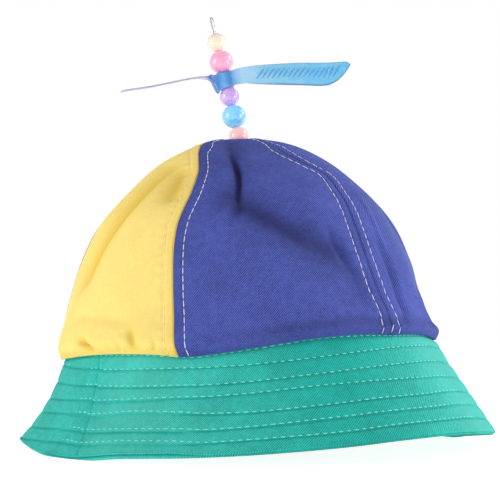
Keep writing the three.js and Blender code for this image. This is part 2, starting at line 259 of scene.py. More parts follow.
twill = {
    "pitch": 1.15,  # mm between the slanting ribs, along a row
    "warp": 0.6,  # mm between the upright threads
    "warpLean": 0.35,
    "ribShare": 0.75,  # the ribs' part in the weave, beside the upright threads
    "stray": (0.05, 1.6),  # how the threads wander: noise scale, mm
    "jitter": 0.9,  # mm by which the ribs stray
    "fibre": (0.95, 1.5, 3.0, 0.65),  # strength, and the noise: scale per mm, detail, roughness
    "mottle": (0.6, 0.045, 3.0, 0.55),
    "slub": (0.5, 0.3, 2.0, 0.6),
    "shadeFilterRate": 2.2,  # how soon painted shade makes the colour richer
    "bump": 0.00014,
    "roughness": (0.82, 0.95),
    "sheen": 0.1,
}

clothColours = {  # the cloth's colour, how far its ribs stray from it, its colour under painted shade and under a painted highlight, how fast painted shade darkens it, and what slight painted shade already takes from its red, green and blue
    # how fast a hollow shades it, and what a slight hollow already takes from its red, green and blue
    "yellow_cloth": ((0.97, 0.705, 0.21), 0.14, (0.72, 0.45, 0.02), (1.0, 0.79, 0.28), 1.0, (1, 1, 1)),
    "blue_cloth": ((0.064, 0.088, 0.365), 0.62, (0.012, 0.010, 0.055), (0.17, 0.22, 0.50), 0.64, (1, 1, 1)),
    "red_cloth": ((0.56, 0.052, 0.064), 0.34, (0.10, 0.006, 0.008), (0.70, 0.12, 0.13), 0.6, (1, 1, 1)),
    "green_cloth": ((0.034, 0.45, 0.38), 0.48, (0.008, 0.13, 0.11), (0.125, 0.60, 0.52), 0.6, (0.3, 1, 1)),
}


def twillMaterial(slot):
    cloth, stray, shaded, paintedHighlight, gain, shadeFilter = clothColours[slot]
    deep, light = rgba(cloth, 1 - stray), rgba(cloth, 1 + stray)
    constants = {"Specular IOR Level": 0.25, "Sheen Weight": twill["sheen"], "Sheen Roughness": 0.4}
    constants["Sheen Tint"] = light
    material, s, shader = newSurface(slot.replace("_", " "), constants)
    coat = s.node("ShaderNodeUVMap", {"uv_map": "cloth"})
    scale, far = twill["stray"]
    shift = coat.noiseAt(scale).out("Color").vector("SCALE", {"Scale": far})
    parts = s.node("ShaderNodeSeparateXYZ", {}, {0: coat.vector("ADD", {1: shift})})
    across, up = parts.out("X"), parts.out("Y")
    grains = {kind: coat.noiseAt(*twill[kind][1:]) for kind in ("fibre", "mottle", "slub")}
    fibre = grains["fibre"]
    ribs = (across - up + (fibre - 0.5) * twill["jitter"]).wave(twill["pitch"])
    floats = (across + up * twill["warpLean"]).wave(twill["warp"])
    weave = ribs * twill["ribShare"] + floats * (1 - twill["ribShare"])
    shade = weave
    for kind, grain in grains.items():
        shade = shade + (grain - 0.5) * twill[kind][0]
    # the painted shading mark: above 0 a painted shade that darkens and deepens the cloth, below 0 a painted
    # highlight that pales it
    paintedShading = s.mark("paintedShading")
    colour = shade.clamp().mix(deep, light)
    colour = (paintedShading * -1.0).clamp().mix(colour, rgba(paintedHighlight))
    colour = (paintedShading * twill["shadeFilterRate"]).mix(colour, rgba(shadeFilter), "MULTIPLY")
    join((paintedShading * gain).clamp().mix(colour, rgba(shaded)), shader, "Base Color")
    low, high = twill["roughness"]
    join(fibre * (high - low) + low, shader, "Roughness")
    relief = {"Height": weave + fibre * 0.5, "Strength": 0.7, "Distance": twill["bump"]}
    join(s.node("ShaderNodeBump", {}, relief), shader, "Normal")
    return material


# thread, wire and the propeller's sheet

def grained(name, constants, grain, rough, colours=None):  # a noise moves its gloss and its colour
    material, s, shader = newSurface(name, constants)
    drift = s.here().noiseAt(*grain)
    change, least = rough
    join(drift * change + least, shader, "Roughness")
    if colours:
        low, high, first, second = colours
        join(drift.spread(low, high).mix(rgba(first), rgba(second)), shader, "Base Color")
    return material


def threadMaterial(name, colour, dark):
    constants = {"Specular IOR Level": 0.35, "Sheen Weight": 0.2}
    return grained(name, constants, (2600.0,), (0.2, 0.55), (0.35, 0.65, dark, colour))


def wireMaterial():
    colours = (0.3, 0.7, (0.42, 0.43, 0.45), (0.70, 0.71, 0.73))
    return grained("drawn steel", {"Metallic": 1.0}, (1500.0, 3.0, 0.6), (0.2, 0.22), colours)


sheetLook = {
    "along": [  # mm along the strip from its hub, and the colour there
        (-62, (0.54, 0.57, 0.76)), (-11, (0.54, 0.57, 0.76)), (-7.5, (0.07, 0.20, 0.60)),
        (-4.5, (0.08, 0.27, 0.74)), (-1, (0.16, 0.46, 0.90)), (2.5, (0.07, 0.24, 0.68)),
        (5, (0.26, 0.56, 0.92)), (9, (0.46, 0.76, 0.98)), (26, (0.24, 0.66, 0.96)), (62, (0.16, 0.62, 0.96)),
    ],
    "border": (0.10, 0.24, 0.50),
    "haze": (0.55, 0.75, 0.95),
    "gloss": {"Coat Weight": 0.25, "Coat Roughness": 0.15},
    "scuff": (1400.0, 2.0, 0.6),  # a fine noise
}


def sheetMaterial(hub, bladeWay):
    constants = {"Transmission Weight": 0.16, "IOR": 1.46, **sheetLook["gloss"]}
    material, s, shader = newSurface("clear blue sheet", constants)
    place = s.here()
    along = place.vector("SUBTRACT", {1: tuple(hub)}).vector("DOT_PRODUCT", {1: tuple(bladeWay)}).out("Value")
    first, last = sheetLook["along"][0][0], sheetLook["along"][-1][0]
    share = (along / mm - first) / (last - first)
    tint = s.node("ShaderNodeValToRGB", {}, {"Fac": share})
    stops = tint.socket.node.color_ramp.elements
    for k, (at, colour) in enumerate(sheetLook["along"]):
        at = (at - first) / (last - first)
        stop = stops[k] if k < 2 else stops.new(at)  # a new ramp has two stops
        stop.position, stop.color = at, rgba(colour)
    cloud = place.noiseAt(220.0, 3.0).spread(0.45, 0.8) * 0.25
    paler = cloud.mix(tint, rgba(sheetLook["haze"]), "SCREEN")
    join(s.mark("border").clamp().mix(paler, rgba(sheetLook["border"])), shader, "Base Color")
    scuff = place.noiseAt(*sheetLook["scuff"])
    join(scuff * 0.16 + 0.14, shader, "Roughness")
    bump = s.node("ShaderNodeBump", {}, {"Height": scuff, "Strength": 0.12, "Distance": 0.00008})
    join(bump, shader, "Normal")
    return material


# rows of small things along lines: stitches, and the ribs on the blades

def newTree(name, sockets):
    tree = bpy.data.node_groups.new(name, "GeometryNodeTree")
    tree.interface.new_socket("Geometry", in_out="INPUT", socket_type="NodeSocketGeometry")
    for label, kind in sockets:
        tree.interface.new_socket(label, in_out="INPUT", socket_type="NodeSocket" + kind)
    tree.interface.new_socket("Material", in_out="INPUT", socket_type="NodeSocketMaterial")
    tree.interface.new_socket("Geometry", in_out="OUTPUT", socket_type="NodeSocketGeometry")
    g = Sock(tree, tree.nodes.new("NodeGroupInput").outputs[0])
    return tree, g, g.node("GeometryNodeMeshToCurve", {}, {"Mesh": g})


def closeTree(tree, g, geometry):  # one smooth mesh in its material
    solid = g.node("GeometryNodeRealizeInstances", {}, {"Geometry": geometry})
    solid = g.node("GeometryNodeSetShadeSmooth", {}, {0: solid})
    solid = g.node("GeometryNodeSetMaterial", {}, {"Geometry": solid, "Material": g.out("Material")})
    tree.links.new(solid.socket, tree.nodes.new("NodeGroupOutput").inputs[0])
    return tree


def rowTree():
    names = ["Spacing", "Long", "Wide", "High", "Slant", "Unevenness"]
    tree, g, curve = newTree("row of stitches", [(name, "Float") for name in names] + [("Seed", "Int")])
    steps = {"Curve": curve, "Length": g.out("Spacing")}
    curve = g.node("GeometryNodeResampleCurve", {"mode": "LENGTH"}, steps)
    facing = g.node("GeometryNodeInputNamedAttribute", {"data_type": "FLOAT_VECTOR"}, {"Name": "facing"})
    axes = {"Primary Axis": facing, "Secondary Axis": g.node("GeometryNodeInputTangent")}
    turn = g.node("FunctionNodeAxesToRotation", {"primary_axis": "Z", "secondary_axis": "X"}, axes)
    slant = g.node("FunctionNodeAxisAngleToRotation", {}, {"Axis": (0, 0, 1), "Angle": g.out("Slant")})
    turns = {"Rotation": turn, "Rotate By": slant}
    turn = g.node("FunctionNodeRotateRotation", {"rotation_space": "LOCAL"}, turns)
    chance = g.node("FunctionNodeRandomValue", {"data_type": "FLOAT"}, {"Seed": g.out("Seed")}, 1)
    longer = g.out("Long") * (1 + (chance - 0.5) * g.out("Unevenness"))
    size = g.node("ShaderNodeCombineXYZ", {}, {"X": longer, "Y": g.out("Wide"), "Z": g.out("High")})
    stitch = g.node("GeometryNodeMeshUVSphere", {}, {"Segments": 6, "Rings": 5, "Radius": 0.5})
    row = {"Points": curve, "Instance": stitch, "Rotation": turn, "Scale": size}
    return closeTree(tree, g, g.node("GeometryNodeInstanceOnPoints", {}, row))


def wireTree():
    tree, g, curve = newTree("bent wire", [("Radius", "Float"), ("Sides", "Int")])
    circle = {"Resolution": g.out("Sides"), "Radius": g.out("Radius")}
    section = g.node("GeometryNodeCurvePrimitiveCircle", {}, circle)
    tube = {"Curve": curve, "Profile Curve": section, "Fill Caps": True}
    return closeTree(tree, g, g.node("GeometryNodeCurveToMesh", {}, tube))


def runTree(piece, tree, values):  # sets a tree's inputs by their identifiers, then keeps the plain mesh
    modifier = piece.modifiers.new("shape", "NODES")
    modifier.node_group = tree
    for item in tree.interface.items_tree:
        if item.in_out == "INPUT" and item.name in values:
            modifier[item.identifier] = values[item.name]
    return settle(piece)


stitchTree = rowTree()


def sew(piece, look, material):  # stitches along the piece's lines
    values = {label: look[label.lower()] * mm for label in ("Spacing", "Long", "Wide", "High")}
    values.update({"Slant": math.radians(look["slant"]), "Unevenness": look["unevenness"]})
    values.update({"Seed": look["seed"], "Material": material})
    return runTree(piece, stitchTree, values)


print("materials and trees ready")


# the brim: two layers of twill, sewn together in rows

brim = {
    "seamRadius": 90.4,
    "rimRadius": 116.6,
    "clothRadius": 103.0,  # where the weave is laid out
    "centre": -4.6,  # the crown stands a little left of the brim's middle
    "wall": 2.4,
    "gap": 0.3,
    "tuck": 4.0,  # how far it reaches up inside the crown
    "seamMiddle": 48.3,
    "sections": [  # bearing, height of the sewn edge, height of the rim, sag
        (-75, 43.3, 3.9, 3), (-48, 46, -0.3, 3), (-31, 46.4, 2.5, 2.8), (-15, 45.7, 4, 2.6),
        (-4, 48, 5.2, 2.4), (8, 51.1, 6.8, 2.2), (20, 53.8, 8.5, 1.8), (32, 55.1, 10.3, 1.3),
        (47, 55.2, 11.2, 0.8), (62, 55, 10.2, 0.2), (75, 53.2, 8.2, -0.3), (105, 51.6, 3.2, 0.3),
        (122, 51.2, -0.3, 2), (150, 49.6, -0.5, 2.6), (180, 48, -0.5, 2.8), (210, 46.4, -0.5, 3),
        (238, 44.6, -0.3, 3), (262, 43.4, 2.7, 3),
    ],
    "rowsAt": [-45, -30, -15, 0, 15, 30, 45, 60],  # bearings
    "rows": [  # each stitch row's place there, as a share of the slope
        [0.0175] * 8, [0.146, 0.141, 0.112, 0.148, 0.172, 0.165, 0.132, 0.12],
        [0.297, 0.309, 0.287, 0.31, 0.322, 0.318, 0.295, 0.28],
        [0.441, 0.437, 0.405, 0.421, 0.431, 0.445, 0.44, 0.43],
        [0.575, 0.561, 0.569, 0.602, 0.608, 0.606, 0.603, 0.585],
        [0.729, 0.741, 0.738, 0.741, 0.738, 0.741, 0.738, 0.72],
        [0.858, 0.866, 0.877, 0.877, 0.882, 0.876, 0.87, 0.86],
    ],
    "rowWander": 0.0025,
    "lastRow": 0.965,  # no row comes closer to the rim
    "bandSteps": [2, 8, 9, 8, 9, 9, 8, 9],
    "underSteps": [2, 4, 5, 4, 5, 5, 4, 5],
    "puff": 0.3,  # how far each band stands out between its rows
    "underPuff": 0.6,  # and on the under layer, as a share of that
    "groove": (0.26, 0.5),  # depth, width
    "rowShade": (0.75, 0.45),  # painted shade in a line along a row of stitches: depth, width
    "firstShade": 0.3,  # the first row's share of that
    "shadeDrop": 0.25,  # how far below its row it lies
    "pucker": (0.08, 9.0),  # height, size
    "shoulder": (0.9, 84.0, 24.0),  # a fuller part under the crown: height, bearing, spread
    "join": (-48.0, -43.0),  # bearing of its own upright join, at the crown and at the rim
    "joinRidge": (0.3, 4.0),  # height, width
    "joinGroove": (0.35, 0.7),  # depth, width
    "joinShades": [(0, (0.25, 0.6)), (3, (0.15, 3))],  # painted shade beside the join: how far to its left; depth and width
    "joinDrop": -0.016,  # the rows meet a little unevenly there
    "leftSpread": (0.3, 0.36),  # and spread apart beyond it: how far, and about which share
    "peek": (0.15, 1.3),  # how far the under layer shows below the upper one: all round, and more here
    "peekAt": (-62.0, -10.0, 9.0),  # from bearing, to bearing, ease
    "edgeShade": 0.9,  # painted shade on the turn of the edge
    "gapShade": 1.6,  # and painted shade between the two layers
    "paintedShadeByBearing": [  # bearing, and the painted shade there; below 0 a painted highlight
        (-75, 0), (-48, 0), (-38, -0.22), (-28, -0.24), (-8, 0), (5, 0.15), (15, 0.38), (26, 0.44),
        (34, 0.32), (42, 0.08), (48, -0.05), (54, -0.24), (60, -0.42), (88, -0.36), (110, 0),
    ],
    "columns": 560,
}

brimTable = np.array(brim["sections"])
brimArc = math.radians(1) * brim["clothRadius"]  # mm of cloth for one degree
lobe = brim["wall"] / 4  # radius of each layer's turned edge


def aroundBrim(column, bearing):
    return through(brimTable[:, 0], brimTable[:, column], bearing, 360)


def brimFrame(bearing):  # the sewn edge, the way down the slope, its length and the way it faces
    way = outward(bearing)
    seam = way * brim["seamRadius"]
    seam[..., 0] += brim["centre"]
    seam[..., 2] = aroundBrim(1, bearing) - brim["gap"]
    rim = way * brim["rimRadius"]
    rim[..., 2] = aroundBrim(2, bearing)
    slope = rim - seam
    length = np.linalg.norm(slope, axis=-1)
    facing = way * (-slope[..., 2:])
    facing[..., 2] = np.sum(slope * way, axis=-1)
    return seam, slope / length[..., None], length, unit(facing), way


def brimPoint(bearing, share, offset, past=0.0):  # share 0 at the crown, 1 at the rim; past goes beyond it
    seam, down, length, facing, way = brimFrame(bearing)
    sag = 4 * aroundBrim(3, bearing) * share * (1 - share)
    turned = smooth(share * length, -1.5, 5)[..., None]
    facing = unit(way * (1 - turned) + facing * turned)
    point = seam + down * (share * length + past)[..., None] + facing * (offset - sag)[..., None]
    z = point[..., 2]
    point[..., 2] = 0.5 * (z + np.sqrt(z * z + 0.04))  # lies flat where it rests
    return point, facing, length


def rowShare(index, bearing):  # one stitch row's place on the slope, a little uneven
    turn = np.radians(bearing)
    wave = np.sin(2 * turn + 1.7 * index) + 0.6 * np.sin(5 * turn + 2.9 * index)
    row = through(brim["rowsAt"], brim["rows"][index], bearing, 360)
    if index == 0:
        return row + 0.2 * brim["rowWander"] * wave
    left = (sum(brim["join"]) / 2 - bearing + 60) % 360 - 60
    apart, pivot = brim["leftSpread"]
    drop = brim["joinDrop"] * smooth(left, 0, 1.5) + apart * (row - pivot) * smooth(left, 4, 40)
    drop = np.minimum(drop * (1 - smooth(left, 80, 115)), brim["lastRow"] - row)
    return row + brim["rowWander"] * wave + drop


def rowKnots(bearing):  # the sewn edge, the stitch rows and the rim
    rows = [rowShare(k, bearing) for k in range(len(brim["rows"]))]
    return [np.zeros_like(bearing)] + rows + [np.ones_like(bearing)]


def fromJoin(bearing, share):  # mm round from the upright join
    top, foot = brim["join"]
    return (bearing - (top + (foot - top) * share)) * brimArc


def brimRelief(bearing, share, length):  # bands that stand out between the rows, and the upright join
    knots = rowKnots(bearing)
    out = np.zeros_like(share)
    for k, (start, end) in enumerate(zip(knots[:-1], knots[1:])):
        t = (share - start) / (end - start)
        band = np.clip(4 * t * (1 - t), 0, 1) ** 0.75 * np.minimum(1, (end - start) / 0.1)
        if k == len(knots) - 2:  # the last one stays full to the rim
            band = np.clip(t * 2.2, 0, 1) ** 0.7 * (1 - 0.5 * smooth(t, 0.5, 1))
        out = np.where((t >= 0) & (t < 1), brim["puff"] * band, out)
    for knot in knots[1:-1]:
        out -= dent((share - knot) * length, brim["groove"])
    high, middle, spread = brim["shoulder"]
    out += high * bell(bearing - middle, spread) * bell(share * length - 5, 5)
    away = fromJoin(bearing, share)
    return out + dent(away, brim["joinRidge"]) - dent(away, brim["joinGroove"])


# painted shade along each stitch row and beside the upright join
def rowShade(bearing, share, length):
    shade = np.zeros_like(share)
    for k, knot in enumerate(rowKnots(bearing)[1:-1]):
        line = dent((share - knot) * length - brim["shadeDrop"], brim["rowShade"])
        shade = np.maximum(shade, line if k else brim["firstShade"] * line)
    away = fromJoin(bearing, share)
    return shade + sum(dent(away + aside, size) for aside, size in brim["joinShades"])


def peekAt(bearing):  # how far the under layer shows
    least, more = brim["peek"]
    return least + more * between(bearing, *brim["peekAt"])


def bandShares(bearing, steps):  # rows of points that crowd towards the stitch rows
    knots = rowKnots(bearing)
    shares = []
    for start, end, count in zip(knots[:-1], knots[1:], steps):
        for step in range(count):
            shares.append(start + (end - start) * (1 - math.cos(math.pi * step / count)) / 2)
    return shares


def brimColumns():  # bearings round the brim, closer together at its join
    fine = np.linspace(-6, 6, 49)
    coarse = np.linspace(6, 354, brim["columns"] - 48)[1:-1]
    return sum(brim["join"]) / 2 + np.concatenate([fine, coarse])


def makeBrim(material):
    bearing = brimColumns()
    flat = np.zeros_like(bearing)
    length = brimFrame(bearing)[2]
    # painted shade and painted highlight that change round the brim
    tint = np.interp((bearing + 180) % 360 - 180, *zip(*brim["paintedShadeByBearing"]))
    peek, underAt = peekAt(bearing), 60.0  # the under layer's place on the cloth
    rows, vRows, shades = [], [], []

    def addRow(share, offset, past=0.0, relief=0.0, mark=0.0, shade=0.0):
        share = share + flat
        shade = shade + tint
        if relief:
            offset = offset + relief * brimRelief(bearing, share, length)
            shade = shade + rowShade(bearing, share, length)
        rows.append(brimPoint(bearing, share, offset + flat, past)[0])
        vRows.append(-share * length - past - mark)
        shades.append(shade)

    def addTuck(up, offset, mark, shade):  # inside the crown
        point = brimPoint(bearing, flat, flat + offset)[0]
        point[:, 2] += brim["tuck"] * up
        rows.append(point)
        vRows.append(flat + brim["tuck"] * up - mark)
        shades.append(flat + shade)

    lift = np.linspace(1, 0, 4)
    # the upper layer's tuck under the crown gets painted shade
    for up in lift[:-1]:
        addTuck(up, 0.0, 0.0, 0.5)
    for share in bandShares(bearing, brim["bandSteps"]):
        addRow(share * (length - peek - lobe) / length, 0.0, relief=1.0)
    for angle in np.radians(np.linspace(90, -60, 7)):  # the upper layer's turned edge
        ease = 0.5 * brim["puff"] * max(0.0, math.sin(angle))
        past = -peek - lobe + lobe * math.cos(angle)
        shade = brim["edgeShade"] * smooth(-angle, -1.3, 0.1)
        addRow(1.0, lobe * (math.sin(angle) - 1) + ease, past, mark=0.5, shade=shade)
    addRow(1.0, -2 * lobe, -peek - lobe * 1.2, mark=1.0, shade=brim["gapShade"])
    for angle in np.radians(np.linspace(90, -90, 8)):  # the under layer's turned edge
        shade = brim["edgeShade"] * smooth(-angle, -1.0, 0.3)
        addRow(1.0, lobe * (math.sin(angle) - 3), -lobe + lobe * math.cos(angle), mark=2.0, shade=shade)
    for share in bandShares(bearing, brim["underSteps"])[::-1]:
        addRow(share * (length - lobe) / length, -brim["wall"], relief=-brim["underPuff"], mark=underAt)
    for up in lift[::-1][1:]:
        addTuck(up, -brim["wall"], underAt, 0.0)
    grid = np.stack(rows, axis=1)
    high, size = brim["pucker"]
    grid += high * ripple(grid, size, 3)[..., None] * unit(grid * [1, 1, 0])
    grid[..., 2] = np.maximum(grid[..., 2], 0)
    u = np.append((bearing - bearing[0]) * brimArc, 360 * brimArc)
    u = np.repeat(u[:, None], len(rows), axis=1)
    v = np.stack(vRows, axis=1)
    v = np.vstack([v, v[:1]])
    piece = loft("brim_cloth", grid, u, v, ring=True, marks={"paintedShading": np.stack(shades, axis=1)})
    return dress(piece, material, "hat", "brim")


brimStitch = {
    "spacing": 3.6,
    "long": 2.4,
    "wide": 0.55,
    "high": 0.42,
    "slant": 0.0,
    "unevenness": 0.4,
    "seed": 11,
    "lift": (0.1, 0.12),  # above the cloth, and below it
    "sunk": [(-104, -48, 0.38), (11, 30, 0.17), (59, 118, 0.38)],  # from and to bearing, and how deep there
    "sunkEase": 6.0,
}


def makeBrimStitches(material):
    bearing = np.linspace(0, 360, 1440, endpoint=False)
    length = brimFrame(bearing)[2]
    above, below = brimStitch["lift"]
    ease = brimStitch["sunkEase"]
    sunk = sum(deep * between(bearing, first, last, ease) for first, last, deep in brimStitch["sunk"])
    lines, facings = [], []
    for k in range(len(brim["rows"])):
        row = rowShare(k, bearing)
        share = row * (length - peekAt(bearing) - lobe) / length
        point, facing, _ = brimPoint(bearing, share, brimRelief(bearing, share, length) + above - sunk)
        share = row * (length - lobe) / length
        under = -brim["underPuff"] * brimRelief(bearing, share, length) - brim["wall"] - below
        underPoint, underFacing, _ = brimPoint(bearing, share, under)
        lines += [point, underPoint]
        facings += [facing, -underFacing]
    piece = linesMesh("brim_stitches", lines, facings, closed=True)
    return dress(sew(piece, brimStitch, material), None, "hat")


makeBrim(twillMaterial("green_cloth"))
makeBrimStitches(threadMaterial("brim thread", (0.22, 0.80, 0.68), (0.12, 0.64, 0.54)))
print("brim sewn")


# the crown: six panels that meet at the tip

crown = {
    "tipLeft": -8.4,
    "tipBack": 3.0,
    "tipRadius": 1.35,
    "dimple": (3.2, 10.0),  # depth, spread
    "puff": 1.4,
    "wall": 1.6,
    "firmEdge": 0.03,
    "line": [  # height, radius
        (0, 92.4), (4, 94.2), (9, 92.6), (17, 89.2), (29, 85.6), (41, 81.4), (53, 76.2), (65, 69), (77, 58.2),
        (89, 44.4), (97, 30.5), (103, 15), (104.5, 0),
    ],
    "levels": [0, 30, 55, 72, 82, 88, 93, 98, 104.5],
    "seams": [  # their bearings at those heights
        (-86, -84.4, -83.4, -83, -83.6, -85.5, -90, -100, -128),
        (-19.3, -22.4, -24.2, -22.5, -23.6, -27.2, -33.6, -46, -80),
        (44.2, 41.4, 42, 44.8, 46.8, 37.8, 32, 31, 26), (101, 100.4, 100, 99.6, 99, 97, 94, 90, 82),
        (160, 159.4, 159, 159, 159, 158.6, 158, 156, 150), (219, 219, 219, 219, 219, 218, 216, 210, 200),
    ],
    "panels": [  # each from its own seam to the next, with its columns of points
        ("crown_yellow_left", "yellow_cloth", 150), ("crown_blue_front", "blue_cloth", 210),
        ("crown_blue_right", "blue_cloth", 130), ("crown_yellow_back", "yellow_cloth", 100),
        ("crown_red_back", "red_cloth", 100), ("crown_red_left", "red_cloth", 100),
    ],
    "folds": [  # from bearing and height, to bearing and height, depth, width
        (-4, 68.5, 23, 43.5, -3.4, 9.5), (28, 39, 35, 21, -1.8, 6), (-10, 6, 72, 6, -0.9, 3),
        (-47, 86, -64, 38, -2.2, 8), (-32.5, 82, -31.5, 71, -1.8, 6), (-55, 6.5, -48.5, 0.5, -1.9, 2.5),
        (-34, 9.5, -32, 1, -1.2, 2.7), (58, 66, 64.5, 26, 1.2, 4.5), (75, 60, 84, 22, -2.2, 9),
        (-88, 62, -88, 24, 1.2, 14), (-92, 92, -91, 72, -2.2, 16), (92, 66, 92, 58, 1, 8),
        (60, 97, 64, 88, 0.8, 12), (128, 76, 138, 44, -2.4, 9), (186, 84, 178, 52, -2.6, 8),
        (204, 40, 196, 14, -1.8, 9), (252, 72, 244, 30, -2.4, 10),
    ],
    "creases": [  # finer ones, that die away at both ends: line of bearings and heights, depth, width, and the share of the depth painted as shade (1 when left out)
        ([(-20, 103.5), (-12, 98.5), (-6.5, 92), (-3.2, 84), (-2.3, 77), (-2.3, 69)], -2.5, 3.8),
        ([(-9.2, 94.2), (-4.4, 87.5), (-2.4, 82.8), (-1.8, 77.4), (-2.1, 70.5), (-2.1, 67.5)], -2.8, 1.5),
        ([(-4.5, 69), (-6.5, 63.5), (-8, 60), (-9.5, 55)], 0.9, 2.2),
        ([(-1, 71), (-1.8, 66), (-3.2, 62), (-5, 57.5)], -1.1, 2.2),
        ([(-4, 69.5), (3, 64.5), (11, 57), (18, 48.5), (24.5, 40)], -1.2, 4.8),
        ([(29.2, 53), (31, 45), (33.5, 34), (35.5, 25)], -2, 2.4),
        ([(49.6, 52), (50.8, 36), (51.4, 24), (51, 12), (50, 3)], -2, 2.6),
        ([(63, 82), (58.5, 68), (58.3, 53), (61, 39.5), (66, 18)], 1.5, 3.4),
        ([(61, 75), (58, 66), (58, 58), (58.8, 49), (61.3, 39), (65, 28)], 0.6, 1.2),
        ([(54, 25), (110, 25)], -2, 8.5, 0.15), ([(54, 12), (110, 12)], -2, 6.5, 0.15),
        ([(55.5, 74), (53.5, 62), (52.6, 50), (52.8, 40)], 0.8, 1.2), ([(-114, 4), (-70, 4)], -1.2, 4.5, 0.3),
        ([(58, 8), (106, 8)], -0.9, 3.2, 0.3), ([(-60, 50), (-66, 38), (-72, 26), (-78, 14)], -0.6, 5),
        ([(-43, 92), (-48, 80), (-50, 70), (-54, 60), (-60, 49), (-65, 36)], -0.7, 3.4, 2),
        ([(-33, 86), (-32.3, 79), (-32, 75), (-31, 67)], -0.9, 3),
        ([(-56, 7.5), (-52, 4.2), (-48, 0.2)], -1.7, 1.2),
        ([(-34.6, 10.5), (-33.4, 6), (-31.8, 0.4)], -1.2, 1.4),
        ([(-25.4, 7), (-25.8, 4), (-26, 0.4)], -0.9, 1.4),
        ([(-38.5, 5.5), (-37.6, 3.4), (-37.2, 0.4)], -0.8, 1.2),
        ([(-43, 5), (-41.4, 3), (-40.6, 0.4)], -0.6, 1),
        ([(-72, 13), (-58, 17.2), (-40, 14), (-30, 12)], -0.5, 2.4),
        ([(-6, 5), (15, 5), (35, 5), (55, 5.2), (76, 5.6)], -0.4, 2.6, 4),
        ([(8, 13), (11, 7), (12, 0.6)], -0.6, 2), ([(70, 12), (73, 7), (74, 0.6)], -0.6, 2.2),
        ([(118, 30), (124, 14), (126, 2)], -1, 2.4), ([(172, 26), (168, 12), (168, 2)], -1, 2.4),
        ([(228, 34), (232, 16), (232, 2)], -1, 2.6),
    ],
    "shades": {  # painted shade on a panel: all over, and towards the tip; below 0 a painted highlight
        "crown_blue_front": (0.06, 0.26), "crown_yellow_left": (0.0, -0.3),
    },
    "fullShadeDepth": 4.5,  # the fold depth whose painted shade is full
    # the least and the most painted shading: below 0 a painted highlight on ridges
    "paintedShadingEnds": (-0.45, 1.45),
    "edgeShade": (0.3, 0.8, 2.6),  # painted shade along the sewn edge: depth, distance, width
    "seamShades": [(0.25, 0.5), (0.2, 3.5)],  # painted shade along the seams: depth, width
    "wrinkles": [(34.0, 0.55), (13.0, 0.16)],  # size and height
    "weaveLevel": 55.0,  # the height whose middle the weave is laid out from
    "rows": 190,
    "crowding": 0.55,  # how much closer the columns stand at the seams
}

seam = {
    "slit": 0.05,  # half of the gap between two panels
    "groove": (0.5, 0.45),  # depth, width
    "lift": 0.35,  # the pressed seam allowance under the cloth
    "stitchAt": 4.8,  # topstitching on each side of a seam
    "drawn": (2, 0.5, 0.76, 0.84),  # the seam whose rows draw together near the tip: by how much, and where
    "flat": (0.75, 0.72, 0.82),  # and how much flatter it lies there
    "spread": (0.2, 0.12),  # and how far its rows part at its foot
    "parted": (1, 0.65, 0.71, 0.82),  # the seam whose rows part near the tip: by how much, and where
    "room": (0.36, 0.44),  # the share of a narrow panel that a row stays within, and on the parted seam
    "narrow": 16.0,  # the relief fades where a panel is narrower
    "pull": (0.45, 0.8),  # depth, width
    "pucker": 0.14,
    "inside": (0.7, 9.0),  # the allowance's thickness, width
}


def onCurve(table, column, along):
    return np.interp(along * crownLength, curveLength, table[:, column])


def crownCurve(steps=4000):  # the crown's outer line by its own length
    rows = np.pad(np.array(crown["line"], float), ((1, 1), (0, 0)), "edge")
    knots = np.arange(len(rows))
    t = np.linspace(1, len(rows) - 2, steps)
    points = np.stack([through(knots, rows[:, k], t) for k in (0, 1)], axis=-1)
    travelled = travel(points)
    return travelled, points, np.gradient(points, travelled, axis=0)


curveLength, curvePoints, curveSlopes = crownCurve()
crownLength = curveLength[-1]


def crownBase(bearing, along):  # point, the way the cloth faces, the way up it, and its radius
    height, radius = [onCurve(curvePoints, k, along) for k in (0, 1)]
    rise, spread = [onCurve(curveSlopes, k, along) for k in (0, 1)]
    level = smooth(along, 0, 0.7)
    foot = aroundBrim(1, bearing) * (1 - level) + brim["seamMiddle"] * level
    way = outward(bearing)
    point = way * radius[..., None]
    point[..., 0] += brim["centre"] + (crown["tipLeft"] - brim["centre"]) * along
    point[..., 1] += crown["tipBack"] * along
    point[..., 2] = foot + height
    facing = way * rise[..., None]
    facing[..., 2] = -spread
    climb = way * spread[..., None]
    climb[..., 2] = rise
    return point, unit(facing), unit(climb), radius


def alongAtHeight(height):
    return np.interp(height, curvePoints[:, 0], curveLength) / crownLength


def creaseLines(table):
    lines = []
    t = np.linspace(0, 1, 13)
    for places, depth, width, *tint in table:
        bearing, height = np.array(places, float).T
        knots = np.linspace(0, 1, len(places))
        along = np.interp(t, knots, alongAtHeight(height))
        points = crownBase(through(knots, bearing, t), along)[0]
        lines.append((points, depth, width, tint[0] if tint else 1.0))
    return lines


folds = creaseLines([([row[:2], row[2:4]], *row[4:]) for row in crown["folds"]])
creases = creaseLines(crown["creases"])


